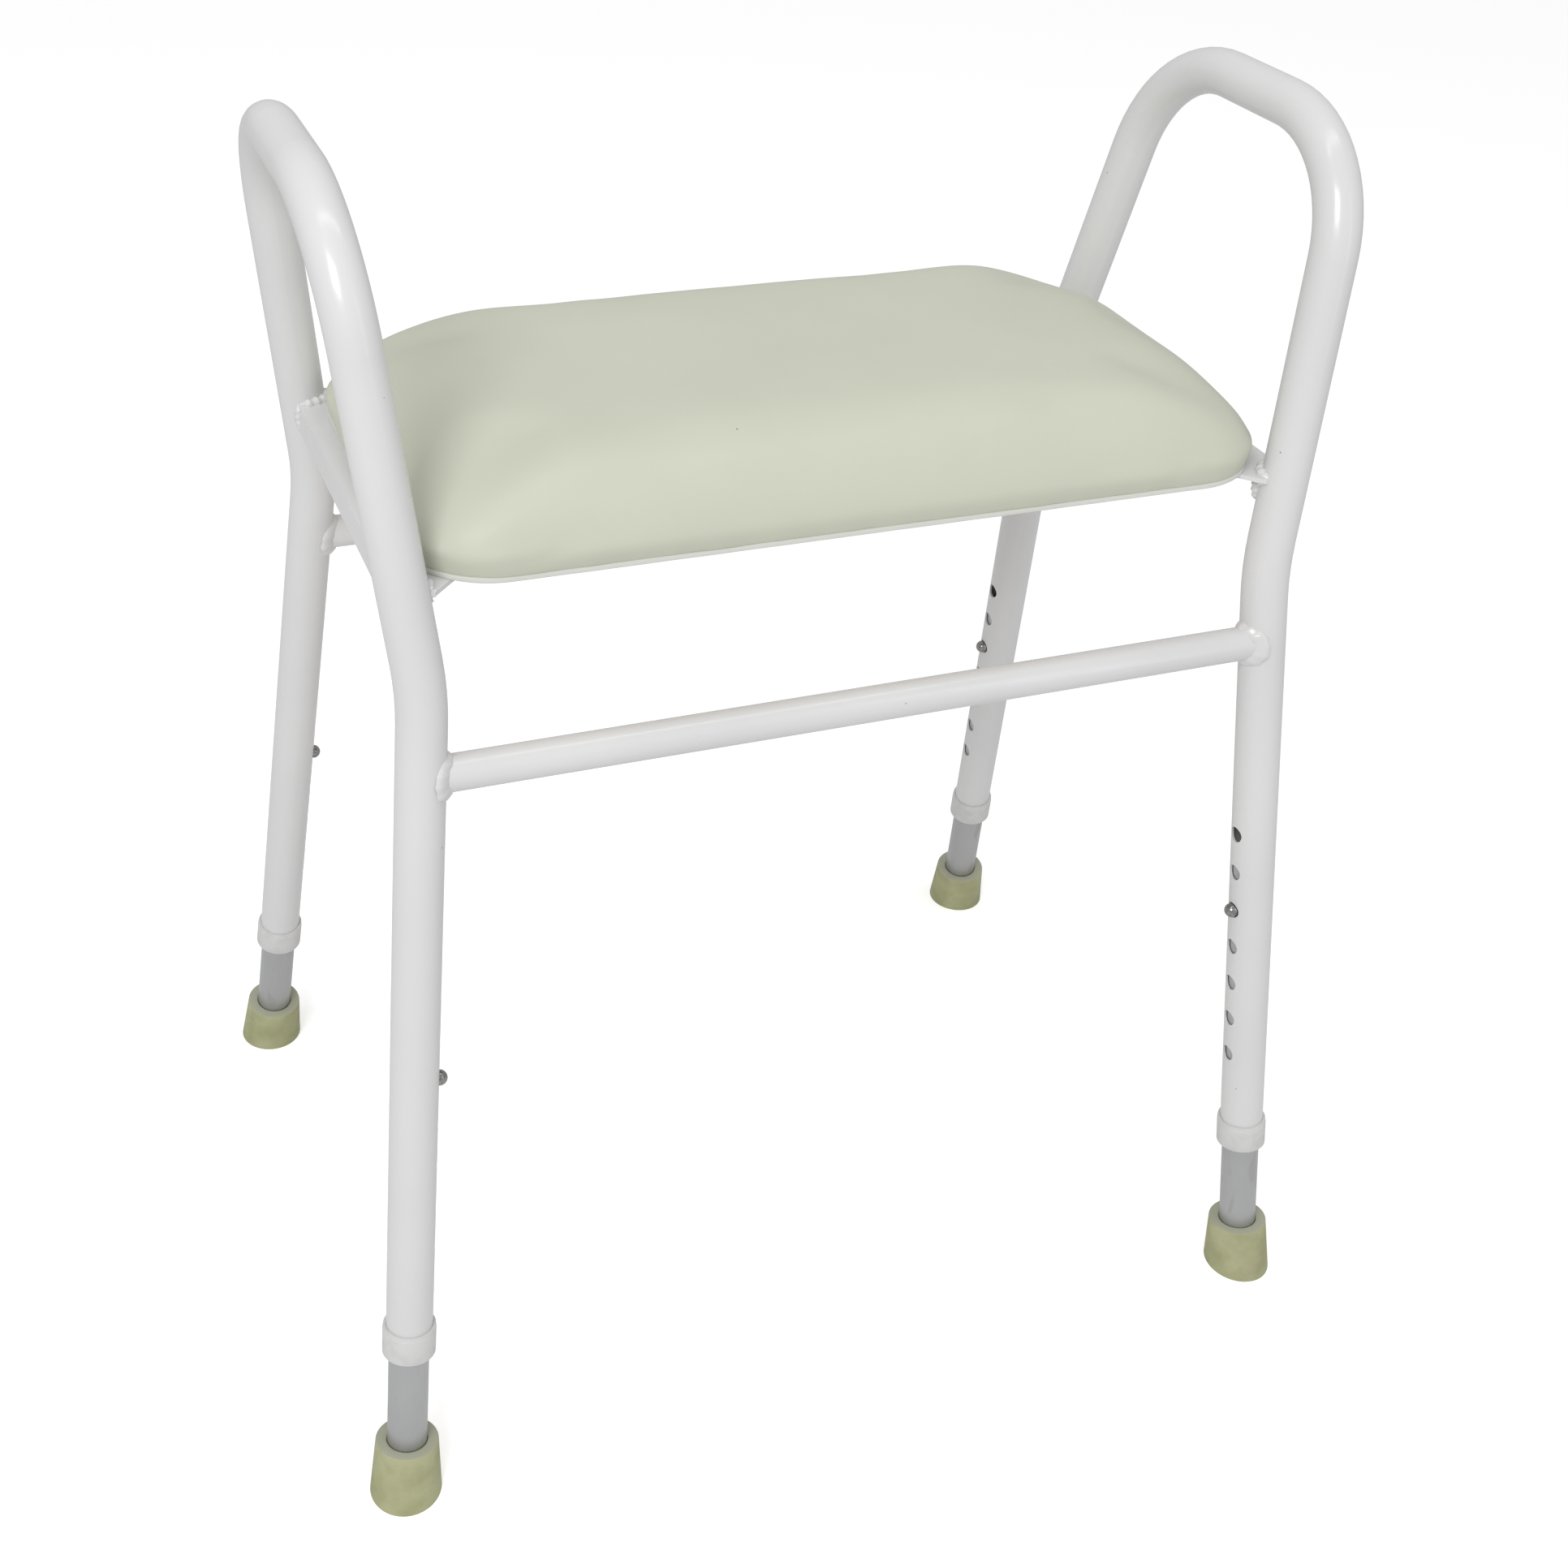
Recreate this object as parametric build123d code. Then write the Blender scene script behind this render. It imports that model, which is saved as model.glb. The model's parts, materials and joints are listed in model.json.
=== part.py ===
from build123d import *
import math
import os

# Height-adjustable shower stool with two bent-tube arms and a padded seat.
# Millimetres. +Z is up, +X runs across the seat, +Y points to the back.
# The origin is on the floor, under the middle of the seat.

# ---- Stance: centre lines of the two side frames ----
foot_spacing_x = 547.0        # left foot to right foot, at the floor
foot_spacing_y = 397.0        # front foot to back foot, at the floor
waist_spacing_x = 474.5       # across the legs at the bend below the seat
waist_height = 473.0
arm_spacing_x = 531.0         # across the tops of the two arms
arm_height = 713.0            # floor to the top of an arm
leg_rake = 8.9                # lean of each leg towards the middle, seen from the side, degrees
waist_bend_radius = 174.0
arm_bend_radius = 72.5

# ---- Frame tube, and the leg tube that telescopes in it ----
tube_diameter = 25.4
tube_wall = 1.2
slide_clearance = 0.4         # radial gap between the frame tube and the leg tube
leg_wall = 1.2
sleeve_station = 96.8         # end of the frame tube; stations are measured up a leg from the floor
leg_above_button = 38.0       # leg tube above the centre of its button

# ---- Height adjustment: one row of holes on the inner side of each leg ----
hole_count = 7
hole_pitch = 25.4
hole_diameter = 9.5
top_hole_station = 315.7
rest_hole = 3                 # hole that the button sits in, counted from the top
button_clearance = 0.55       # radial gap between a button and its hole
button_stand_out = 4.8        # from the frame tube's surface to the tip of the button
button_rim_reach = 0.75       # rim of a button past the edge of its hole
button_rim_thickness = 1.2
clip_thickness = 0.6
clip_width = 6.0
clip_length = 62.0            # from the button down to the fold
clip_gap = 0.3                # between the clip's far arm and the leg tube

# ---- Collar on the end of the frame tube ----
collar_wall = 1.9
collar_height = 17.5
collar_lip = 2.0              # part of the collar below the end of the frame tube
collar_clearance = 0.35       # radial gap between the lip and the leg tube
collar_edge = 1.0

# ---- Rubber ferrule, with a steel washer under the end of the leg tube ----
ferrule_base_wall = 8.9       # rubber round the leg tube, at the floor
ferrule_top_wall = 6.4        # rubber round the leg tube, at the mouth
ferrule_height = 33.5
ferrule_floor = 8.0           # rubber between the floor and the washer, on the axis
ferrule_edge = 1.2
washer_inset = 0.6            # edge of the washer inside the leg tube's surface
washer_thickness = 1.2

# ---- Crossbars between the left and right legs ----
bar_diameter = 19.05
bar_wall = 1.2
bar_below_rail = 95.0         # axis of a crossbar, below the top of the rails

# ---- Seat rails: unequal angle, one flange under the seat, one hanging outside it ----
rail_top_height = 525.0
rail_outside_tube = 4.3       # outer face of a rail, outside the centre of a leg
rail_under_seat = 22.0        # reach of a rail's flange under the edge of the seat
rail_drop = 16.0
rail_thickness = 2.5
rail_past_tube = 3.5          # reach of the flange past the centre of a leg
rail_corner_cut = 16.0        # cut across each inner corner of the flange

# ---- Weld beads ----
weld_size = 4.0

# ---- Seat: board, foam, cover, hem and what fixes them ----
seat_width = 470.0            # cover, across the hem
seat_depth = 238.0
seat_height = 51.0            # cover, above the rails
seat_corner = 44.0
seat_crown_radius = 36.0
cover_thickness = 1.2
hem_width = 28.0              # cover folded in under the board
piping_height = 2.6
piping_stand_out = 1.4
board_thickness = 12.0
staple_crown = 10.0
staple_wire = 1.0
staple_leg = 6.0
staple_pitch = 45.0
staple_from_edge = 18.0
screw_spacing_y = 120.0
screw_from_rail_edge = 9.5    # screw line, from the rail's inner edge
screw_diameter = 6.0
screw_below_board_top = 0.7   # end of the screw, below the top of the board
screw_head_diameter = 11.0
screw_head_height = 3.2
screw_slot_width = 1.2
screw_hole_clearance = 0.25   # radial
flat_washer_diameter = 14.0
flat_washer_thickness = 1.0
tee_nut_flange = 19.0
tee_nut_flange_thickness = 1.4
tee_nut_barrel = 8.0
tee_nut_depth = 8.0

# ---- Sizes that follow from those above ----
tube_radius = tube_diameter / 2
tube_bore = tube_radius - tube_wall
leg_radius = tube_bore - slide_clearance
leg_bore = leg_radius - leg_wall
arm_axis_height = arm_height - tube_radius
rest_station = top_hole_station - (rest_hole - 1) * hole_pitch
leg_top_station = rest_station + leg_above_button
leg_bottom_station = ferrule_floor + washer_thickness
button_radius = hole_diameter / 2 - button_clearance
button_rim_radius = hole_diameter / 2 + button_rim_reach
collar_radius = tube_radius + collar_wall
ferrule_base_radius = leg_radius + ferrule_base_wall
ferrule_top_radius = leg_radius + ferrule_top_wall
washer_radius = leg_radius - washer_inset
bar_height = rail_top_height - bar_below_rail
rail_inner_x = seat_width / 2 - rail_under_seat
board_bottom = rail_top_height + cover_thickness
board_top = board_bottom + board_thickness
screw_x = rail_inner_x + screw_from_rail_edge

SIDES = {"left": -1, "right": 1}
ENDS = {"front": -1, "back": 1}


def leg_y(end, height):
    """Y of a leg's centre line at a height: each leg leans by leg_rake all the way up."""
    return end * (foot_spacing_y / 2 - height * math.tan(math.radians(leg_rake)))


def foot_point(side, end):
    return Vector(side * foot_spacing_x / 2, leg_y(end, 0), 0)


def waist_point(side, end):
    return Vector(side * waist_spacing_x / 2, leg_y(end, waist_height), waist_height)


def arm_point(side, end):
    return Vector(side * arm_spacing_x / 2, leg_y(end, arm_axis_height), arm_axis_height)


def point_between(low, high, height):
    """Point at a height on the straight line through two points."""
    share = (height - low.Z) / (high.Z - low.Z)
    return low + (high - low) * share


def leg_location(side, end):
    """Foot of a leg: local Z runs up its axis and local X points to the other side frame."""
    foot = foot_point(side, end)
    axis = (waist_point(side, end) - foot).normalized()
    inward = Vector(-side, 0, 0)
    across = (inward - axis * inward.dot(axis)).normalized()
    return Plane(origin=foot, x_dir=across, z_dir=axis).location


def turned(*outline):
    """Solid of revolution about local Z from a closed (radius, station) outline."""
    face = Plane.XZ * make_face(Polyline(*outline, close=True))
    return revolve(face, Axis.Z)


def ring(outer_radius, inner_radius, bottom, top):
    outer = Pos(0, 0, (bottom + top) / 2) * Cylinder(outer_radius, top - bottom)
    return outer - Pos(0, 0, (bottom + top) / 2) * Cylinder(inner_radius, 2 * (top - bottom))


def across_hole(diameter, reach, station):
    """Cylinder along local +X from the axis outwards, to cut one wall of a tube."""
    return Pos(reach / 2, 0, station) * Rot(0, 90, 0) * Cylinder(diameter / 2, reach)


def one_solid(shape):
    """The largest solid of a cut, without the slivers that a cope can leave."""
    return max(shape.solids(), key=lambda solid: solid.volume)


# ---- Side frames ----
def frame_path(side):
    """Front leg, arm and back leg as one bent tube's centre line."""
    ends = []
    for end in (ENDS["front"], ENDS["back"]):
        foot = foot_point(side, end)
        waist = waist_point(side, end)
        ends.append(foot + (waist - foot).normalized() * sleeve_station)
    corners = [
        ends[0],
        waist_point(side, ENDS["front"]),
        arm_point(side, ENDS["front"]),
        arm_point(side, ENDS["back"]),
        waist_point(side, ENDS["back"]),
        ends[1],
    ]
    radii = [waist_bend_radius, arm_bend_radius, arm_bend_radius, waist_bend_radius]
    return FilletPolyline(*corners, radius=radii)


def swept(path, radius):
    section = Plane(origin=path @ 0, z_dir=path % 0) * Circle(radius)
    return sweep(section, path=path)


def side_frame_solid(side):
    """Outer form of a side frame's tube, without its bore: what the other pieces are coped to."""
    return swept(frame_path(side), tube_radius)


def side_frame(side, outer):
    tube = outer - swept(frame_path(side), tube_bore)
    for end in ENDS.values():
        place = leg_location(side, end)
        for index in range(hole_count):
            station = top_hole_station - index * hole_pitch
            tube -= place * across_hole(hole_diameter, tube_diameter, station)
    return tube


# ---- Crossbars ----
def bar_y(end):
    return leg_y(end, bar_height)


def bar_cylinder(end, radius):
    length = waist_spacing_x + foot_spacing_x
    return Pos(0, bar_y(end), bar_height) * Rot(0, 90, 0) * Cylinder(radius, length)


def bar_cut_to_frames(shape, frames):
    """The length of a bar that is left between the two side frames."""
    for outer in frames.values():
        shape -= outer
    return min(shape.solids(), key=lambda solid: abs(solid.center().X))


def crossbar(end, frames):
    blank = bar_cylinder(end, bar_diameter / 2) - bar_cylinder(end, bar_diameter / 2 - bar_wall)
    return bar_cut_to_frames(blank, frames)


def bar_joint(side, end):
    """Where a crossbar's axis meets a leg's axis."""
    return point_between(foot_point(side, end), waist_point(side, end), bar_height)


def crossbar_weld(side, end, outer):
    """Bead round one end of a crossbar, on the saddle where it meets the leg."""
    joint = bar_joint(side, end)
    place = leg_location(side, end)
    reach = tube_radius + weld_size
    station = (joint - foot_point(side, end)).length
    around_leg = place * Pos(0, 0, station) * Cylinder(reach, 4 * bar_diameter)
    half = Pos(joint.X - side * reach, joint.Y, joint.Z) * Box(2 * reach, 4 * reach, 4 * reach)
    bead = bar_cylinder(end, bar_diameter / 2 + weld_size) & around_leg & half
    bead = bead - outer - bar_cylinder(end, bar_diameter / 2)
    return one_solid(bead)


# ---- Seat rails ----
def rail_tube_centre(side, end):
    """Centre of a leg at the height of the rail's top face."""
    waist = waist_point(side, end)
    if rail_top_height < waist_height:
        return point_between(foot_point(side, end), waist, rail_top_height)
    return point_between(waist, arm_point(side, end), rail_top_height)


def rail_length():
    return 2 * (abs(rail_tube_centre(1, 1).Y) + rail_past_tube)


def rail_outer_x():
    return rail_tube_centre(1, 1).X + rail_outside_tube


def seat_rail(side, outer):
    length = rail_length()
    outer_x = rail_outer_x()
    flange = Pos(
        side * (outer_x + rail_inner_x) / 2, 0, rail_top_height - rail_thickness / 2
    ) * Box(outer_x - rail_inner_x, length, rail_thickness)
    upright = flange.edges().filter_by(Axis.Z)
    flange = chamfer(upright.sort_by(lambda edge: abs(edge.center().X))[:2], rail_corner_cut)
    drop = Pos(
        side * (outer_x - rail_thickness / 2), 0, rail_top_height - rail_drop / 2
    ) * Box(rail_thickness, length, rail_drop)
    rail = flange + drop - outer
    rail = min(rail.solids(), key=lambda solid: abs(solid.center().Y))
    for y in (-screw_spacing_y / 2, screw_spacing_y / 2):
        hole = Cylinder(screw_diameter / 2 + screw_hole_clearance, 4 * rail_thickness)
        rail -= Pos(side * screw_x, y, rail_top_height) * hole
    return rail


def rail_weld(side, end, outer, rail):
    """Beads over and under the flange of a rail, where its end is coped round the leg."""
    centre = rail_tube_centre(side, end)
    middle = rail_top_height - rail_thickness / 2
    height = rail_thickness + 2 * weld_size
    around_leg = Pos(centre.X, centre.Y, middle) * Cylinder(tube_radius + weld_size, height)
    inside_drop = rail_outer_x() - rail_thickness
    width = inside_drop - rail_inner_x + rail_thickness
    over_flange = Pos(side * (inside_drop - width / 2), 0, middle) * Box(width, rail_length(), height)
    return ((around_leg & over_flange) - outer - rail).solids()


# ---- Collars ----
def collar():
    bottom = sleeve_station - collar_lip
    top = bottom + collar_height
    lip_bore = leg_radius + collar_clearance
    return turned(
        (lip_bore, bottom),
        (collar_radius - collar_edge, bottom),
        (collar_radius, bottom + collar_edge),
        (collar_radius, top - collar_edge / 2),
        (collar_radius - collar_edge / 2, top),
        (tube_radius, top),
        (tube_radius, sleeve_station),
        (lip_bore, sleeve_station),
    )


# ---- Legs ----
def leg_tube():
    tube = ring(leg_radius, leg_bore, leg_bottom_station, leg_top_station)
    return tube - across_hole(hole_diameter, tube_diameter, rest_station)


def ferrule_radius(station):
    slope = (ferrule_base_radius - ferrule_top_radius) / ferrule_height
    return ferrule_base_radius - slope * station


def ferrule(place):
    """Tapered rubber foot, bedded down flat on the floor although the leg leans."""
    below = -ferrule_base_radius / 2
    body = turned(
        (0, below),
        (ferrule_radius(below), below),
        (ferrule_radius(ferrule_height - ferrule_edge), ferrule_height - ferrule_edge),
        (ferrule_top_radius - ferrule_edge, ferrule_height),
        (leg_radius, ferrule_height),
        (leg_radius, leg_bottom_station),
        (washer_radius, leg_bottom_station),
        (washer_radius, ferrule_floor),
        (0, ferrule_floor),
    )
    size = 4 * ferrule_base_radius
    foot = place.position
    above_floor = Pos(foot.X, foot.Y, size / 2) * Box(size, size, size)
    return place * body & above_floor


def ferrule_washer():
    middle = ferrule_floor + washer_thickness / 2
    return Pos(0, 0, middle) * Cylinder(washer_radius, washer_thickness)


# ---- Snap buttons ----
def button_rim_inside():
    """Distance from the leg's axis to the inner face of a button's rim."""
    return math.sqrt(leg_bore ** 2 - button_rim_radius ** 2) - button_rim_thickness


def button():
    """Domed steel button with a rim that stops it inside the leg tube."""
    tip = tube_radius + button_stand_out
    rim_inside = button_rim_inside()
    rim_outside = rim_inside + button_rim_thickness
    outline = Polyline(
        (0, rim_inside),
        (button_rim_radius, rim_inside),
        (button_rim_radius, rim_outside),
        (button_radius, rim_outside),
        (button_radius, tip - button_radius),
    )
    dome = CenterArc((0, tip - button_radius), button_radius, 0, 90)
    closing = Line((0, tip), (0, rim_inside))
    face = Plane.XZ * make_face(outline + dome + closing)
    return Pos(0, 0, rest_station) * Rot(0, 90, 0) * revolve(face, Axis.Z)


def spring_clip():
    """Bent strip: one arm behind the button, one along the far wall, joined by a fold below."""
    rim_inside = button_rim_inside()
    flat = math.sqrt(leg_bore ** 2 - (clip_width / 2) ** 2) - clip_gap
    fold = rest_station - clip_length
    outer = [
        (rim_inside, rest_station + button_rim_radius),
        (rim_inside, rest_station - button_rim_radius),
        (-flat + 2 * clip_thickness, fold),
        (-flat, fold),
        (-flat, rest_station),
    ]
    inner = [
        (-flat + clip_thickness, rest_station),
        (-flat + clip_thickness, fold + 4 * clip_thickness),
        (rim_inside - clip_thickness, rest_station - button_rim_radius),
        (rim_inside - clip_thickness, rest_station + button_rim_radius),
    ]
    face = Plane.XZ * make_face(Polyline(*outer, *inner, close=True))
    return extrude(face, amount=clip_width / 2, both=True)


# ---- Seat ----
def seat_outline(inset):
    return RectangleRounded(
        seat_width - 2 * inset, seat_depth - 2 * inset, seat_corner - inset
    )


def seat_form(inset, bottom, top):
    """Rounded slab with its top edge rolled over."""
    slab = extrude(Pos(0, 0, bottom) * seat_outline(inset), amount=top - bottom)
    edges = slab.edges().group_by(Axis.Z)[-1]
    return fillet(edges, seat_crown_radius - inset)


def seat_board():
    board = extrude(Pos(0, 0, board_bottom) * seat_outline(cover_thickness), amount=board_thickness)
    for x, y in screw_places():
        hole = Cylinder(tee_nut_barrel / 2, 4 * board_thickness)
        seat = Cylinder(tee_nut_flange / 2, 2 * tee_nut_flange_thickness)
        board = board - Pos(x, y, board_top) * hole - Pos(x, y, board_top) * seat
    return board


def seat_foam():
    top = rail_top_height + seat_height - cover_thickness
    return seat_form(cover_thickness, board_top, top)


def seat_cover():
    """Vinyl skin over the foam and round the board's edge, folded under as a hem."""
    top = rail_top_height + seat_height
    skin = seat_form(0, rail_top_height, top)
    filling = seat_form(cover_thickness, board_bottom, top - cover_thickness)
    middle = extrude(
        Pos(0, 0, rail_top_height - cover_thickness) * seat_outline(hem_width),
        amount=3 * cover_thickness,
    )
    cover = skin - filling - middle
    for x, y in screw_places():
        hole = Cylinder(screw_diameter / 2 + screw_hole_clearance, 4 * cover_thickness)
        cover -= Pos(x, y, rail_top_height) * hole
    return cover


def seat_piping():
    """Folded lip of vinyl that runs round the bottom edge of the seat."""
    outer = Pos(0, 0, rail_top_height) * seat_outline(-piping_stand_out)
    return extrude(outer - Pos(0, 0, rail_top_height) * seat_outline(0), amount=piping_height)


def screw_places():
    """The four fixings of the seat, two on each rail."""
    return [
        (side * screw_x, y)
        for side in SIDES.values()
        for y in (-screw_spacing_y / 2, screw_spacing_y / 2)
    ]


def seat_screw():
    """Pan-head screw, from under the rail's washer up into the tee nut."""
    under = rail_top_height - rail_thickness - flat_washer_thickness
    length = board_top - screw_below_board_top - under
    shank = Pos(0, 0, under + length / 2) * Cylinder(screw_diameter / 2, length)
    head = Pos(0, 0, under - screw_head_height / 2) * Cylinder(
        screw_head_diameter / 2, screw_head_height
    )
    head = fillet(head.edges().sort_by(Axis.Z)[0], screw_head_height / 2)
    slot = Pos(0, 0, under - screw_head_height) * Box(
        screw_slot_width, screw_head_diameter, screw_head_height
    )
    return head - slot + shank


def flat_washer():
    top = rail_top_height - rail_thickness
    bore = screw_diameter / 2 + screw_hole_clearance
    return ring(flat_washer_diameter / 2, bore, top - flat_washer_thickness, top)


def tee_nut():
    bore = screw_diameter / 2
    flange = ring(tee_nut_flange / 2, bore, board_top - tee_nut_flange_thickness, board_top)
    barrel = ring(tee_nut_barrel / 2, bore, board_top - tee_nut_depth, board_top)
    return flange + barrel


def at_each(piece, places):
    """The same fastener at several places, as a group of separate solids."""
    return Compound(children=[Pos(x, y, 0) * piece for x, y in places])


def staple():
    """Wire staple driven up through the hem, its crown along local X."""
    crown = Pos(0, 0, rail_top_height - staple_wire / 2) * Box(staple_crown, staple_wire, staple_wire)
    for x in (-staple_crown / 2 + staple_wire / 2, staple_crown / 2 - staple_wire / 2):
        crown += Pos(x, 0, rail_top_height + staple_leg / 2) * Box(staple_wire, staple_wire, staple_leg)
    return crown


def staples():
    """Staples round the hem, left out where the rails run under it."""
    clear_x = rail_inner_x - staple_crown
    half_depth = seat_depth / 2 - staple_from_edge
    count = int(2 * clear_x // staple_pitch) + 1
    pieces = []
    for index in range(count):
        x = (index - (count - 1) / 2) * staple_pitch
        for y in (-half_depth, half_depth):
            pieces.append(Pos(x, y, 0) * staple())
    return Compound(children=pieces)


# ---- Assembly ----
def nodes():
    parts = {}
    frames = {name: side_frame_solid(side) for name, side in SIDES.items()}
    for side_name, side in SIDES.items():
        parts["side_frame_" + side_name] = side_frame(side, frames[side_name])
        rail = seat_rail(side, frames[side_name])
        parts["seat_rail_" + side_name] = rail
        parts["rail_welds_" + side_name] = Compound(
            children=[
                bead
                for end in ENDS.values()
                for bead in rail_weld(side, end, frames[side_name], rail)
            ]
        )
    for end_name, end in ENDS.items():
        parts["crossbar_" + end_name] = crossbar(end, frames)
        parts["crossbar_welds_" + end_name] = Compound(
            children=[crossbar_weld(side, end, frames[name]) for name, side in SIDES.items()]
        )
    for end_name, end in ENDS.items():
        for side_name, side in SIDES.items():
            corner = end_name + "_" + side_name
            place = leg_location(side, end)
            parts["collar_" + corner] = place * collar()
            parts["leg_tube_" + corner] = place * leg_tube()
            parts["ferrule_" + corner] = ferrule(place)
            parts["ferrule_washer_" + corner] = place * ferrule_washer()
            parts["snap_button_" + corner] = place * button()
            parts["spring_clip_" + corner] = place * spring_clip()
    parts["seat_board"] = seat_board()
    parts["seat_foam"] = seat_foam()
    parts["seat_cover"] = seat_cover()
    parts["seat_piping"] = seat_piping()
    parts["hem_staples"] = staples()
    parts["seat_screws"] = at_each(seat_screw(), screw_places())
    parts["seat_washers"] = at_each(flat_washer(), screw_places())
    parts["tee_nuts"] = at_each(tee_nut(), screw_places())
    return parts


os.makedirs("parts", exist_ok=True)
for node_name, shape in nodes().items():
    export_step(shape, "parts/" + node_name + ".step")
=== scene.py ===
import bmesh
import bpy
import json
import math
from mathutils import Matrix, Vector, noise


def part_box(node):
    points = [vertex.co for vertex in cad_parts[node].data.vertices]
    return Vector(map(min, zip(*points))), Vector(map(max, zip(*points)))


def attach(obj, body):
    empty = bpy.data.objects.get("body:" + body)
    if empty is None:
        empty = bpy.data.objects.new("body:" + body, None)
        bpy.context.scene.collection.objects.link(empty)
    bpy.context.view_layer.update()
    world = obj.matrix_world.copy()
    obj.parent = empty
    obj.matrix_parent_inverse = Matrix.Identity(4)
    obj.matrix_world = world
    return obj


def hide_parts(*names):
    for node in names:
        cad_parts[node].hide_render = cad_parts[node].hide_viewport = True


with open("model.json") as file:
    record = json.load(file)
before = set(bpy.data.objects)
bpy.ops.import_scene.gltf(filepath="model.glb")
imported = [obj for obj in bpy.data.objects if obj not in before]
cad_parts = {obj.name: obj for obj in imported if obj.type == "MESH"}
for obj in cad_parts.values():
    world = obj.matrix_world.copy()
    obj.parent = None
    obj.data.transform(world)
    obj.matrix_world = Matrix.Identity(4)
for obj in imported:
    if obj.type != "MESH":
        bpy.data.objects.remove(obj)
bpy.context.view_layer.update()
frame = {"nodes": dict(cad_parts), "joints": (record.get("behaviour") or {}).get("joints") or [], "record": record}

MM = 0.001
SIDES = {"left": -1, "right": 1}
ENDS = {"front": -1, "back": 1}
CORNERS = [(end, side) for end in ENDS for side in SIDES]

# sizes of the stool's own parts, in metres
TUBE_RADIUS = 12.7 * MM
BAR_RADIUS = 9.525 * MM
LEG_RADIUS = 11.1 * MM
SLEEVE_END = 96.8 * MM        # end of the frame tube, measured up the leg
COLLAR_LIP = 2.0 * MM
COLLAR_HEIGHT = 17.5 * MM
COLLAR_RADIUS = 14.6 * MM
COLLAR_GAP = 0.35 * MM        # between the collar's lip and the leg tube
COLLAR_EDGE = 0.7 * MM
FERRULE_HEIGHT = 33.5 * MM
FERRULE_BASE = 20.0 * MM
FERRULE_TOP = 17.5 * MM
FERRULE_SOLE = 9.2 * MM       # rubber and washer below the end of the leg tube
FERRULE_SOLE_EDGE = 3.6 * MM
WASHER = 1.2 * MM
RAIL_OUTSIDE_LEG = 4.3 * MM   # outer face of a rail, outside the centre of a leg
RAIL_PAST_LEG = 3.5 * MM
BAR_BEAD = Vector((2.3 * MM, 5.4 * MM))
SEAT_CORNER = 44.0 * MM
SEAT_ROLL = 24.0 * MM         # size of the rolled top edge
SEAT_END_ROLL = 65.0 * MM     # reach of the softer roll at the two ends
SEAT_END_DROP = 10.0 * MM
SEAT_CORNER_REACH = Vector((90.0 * MM, 85.0 * MM))
SEAT_CORNER_DROP = 13.0 * MM  # how much lower again the four corners lie
SEAT_EASING = 9               # times the filled skin is evened out
SEAT_SWELL = 3.0 * MM         # how far the filling may move the skin
SEAT_CROWN = 6.0 * MM         # how far the top stands above its edge in the middle
SEAT_BULGE = 3.5 * MM         # how far the sides stand out over the hem
SEAT_BULGE_HEIGHT = 36.0 * MM
SEAT_GATHER = 0.7 * MM        # depth of the small gathers over the hem
SEAT_GATHER_HEIGHT = 13.0 * MM
SEAT_GRID = 5.0 * MM          # size of the skin's quads
SEAT_EASED_ABOVE = 15.0 * MM  # the skin is evened out from here up, over the hem
FILLING_STEPS = 20
BOARD_TOP = 538.4 * MM
BOARD_OVERLAP = 0.9 * MM      # skin inside its own outline, round the board
HEM_WIDTH = 28.0 * MM
HEM_THICKNESS = 1.15 * MM
LIP_REACH = 1.4 * MM
LIP_HEIGHT = 2.6 * MM


# ---------------------------------------------------------------- camera, light, floor
def studio_camera():
    """Portrait of the stool from its front left, from a little above the arms."""
    azimuth, elevation, roll = (math.radians(a) for a in (-21.54, 31.15, 2.94))
    back = Vector((
        math.sin(azimuth) * math.cos(elevation),
        -math.cos(azimuth) * math.cos(elevation),
        math.sin(elevation),
    ))
    level = Vector((math.cos(azimuth), math.sin(azimuth), 0))
    right = math.cos(roll) * level + math.sin(roll) * back.cross(level)
    up = back.cross(right)
    data = bpy.data.cameras.new("studio_camera")
    data.sensor_width = 36.0
    data.lens = 46.99
    data.shift_x = 0.0776
    data.shift_y = -0.0776
    camera = bpy.data.objects.new("studio_camera", data)
    bpy.context.scene.collection.objects.link(camera)
    turn = Matrix((right, up, back)).transposed().to_4x4()
    camera.matrix_world = Matrix.Translation((-0.434, -0.9317, 0.9952)) @ turn
    bpy.context.scene.camera = camera


def softbox(name, place, aim, size, power):
    """A flat area light that faces a point."""
    data = bpy.data.lights.new(name, "AREA")
    data.shape = "RECTANGLE"
    data.size, data.size_y = size
    data.energy = power
    lamp = bpy.data.objects.new(name, data)
    bpy.context.scene.collection.objects.link(lamp)
    lamp.location = place
    lamp.rotation_euler = (Vector(aim) - Vector(place)).to_track_quat("-Z", "Y").to_euler()


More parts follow.
